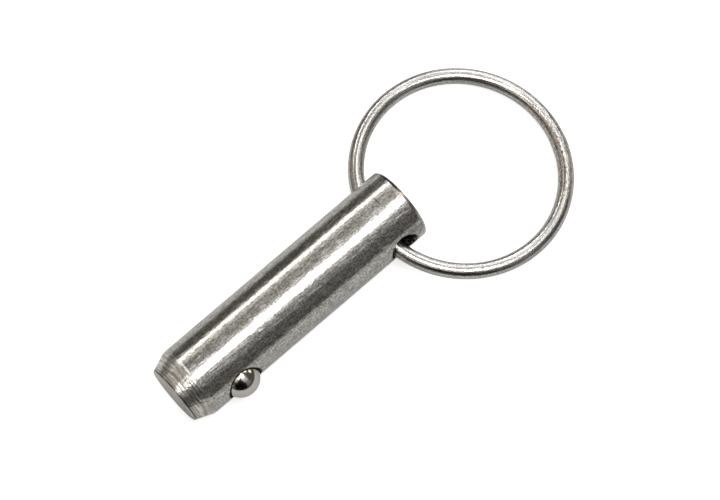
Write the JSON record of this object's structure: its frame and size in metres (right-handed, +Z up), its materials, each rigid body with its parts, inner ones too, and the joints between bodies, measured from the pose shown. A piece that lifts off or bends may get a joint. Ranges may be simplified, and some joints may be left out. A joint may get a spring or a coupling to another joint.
{
  "type": "detent pin",
  "caption": "Short round steel pin with a tapered tip, a spring-loaded detent ball near the tip and a loose round pull ring through its head.",
  "frame": {"origin": "centre of the flat end face at the head, where the ring is", "axes": "+X along the shank from the head to the tapered tip; +Y to the side the detent ball looks out on; +Z up, with the pin and its ring lying on a flat surface at z = -6.35 mm"},
  "size_m": [0.0777, 0.037, 0.0126],
  "materials": {
    "ground_steel": "satin, drawn and ground along its length",
    "ball_steel": "mirror polished",
    "ring_wire": "bright drawn wire",
    "spring_wire": "plain drawn wire"
  },
  "bodies": {
    "pin": {"shank": "ground_steel", "detent_spring": "spring_wire"},
    "ball": {"detent_ball": "ball_steel"},
    "ring": {"pull_ring": "ring_wire"}
  },
  "joints": [
    {"name": "ball_press", "type": "slide", "parent": "pin", "child": "ball", "axis": [0, -0.9936, -0.1132], "range_m": [0, 0.0019], "stiffness_N_per_m": 2200, "springref_m": -0.0025, "deforming": ["detent_spring"]},
    {"name": "ring_swing", "type": "hinge", "parent": "pin", "child": "ring", "pos_m": [0.0049, 0, 0], "axis": [0, 0.9936, 0.1132], "range_deg": [-156, 173]}
  ]
}
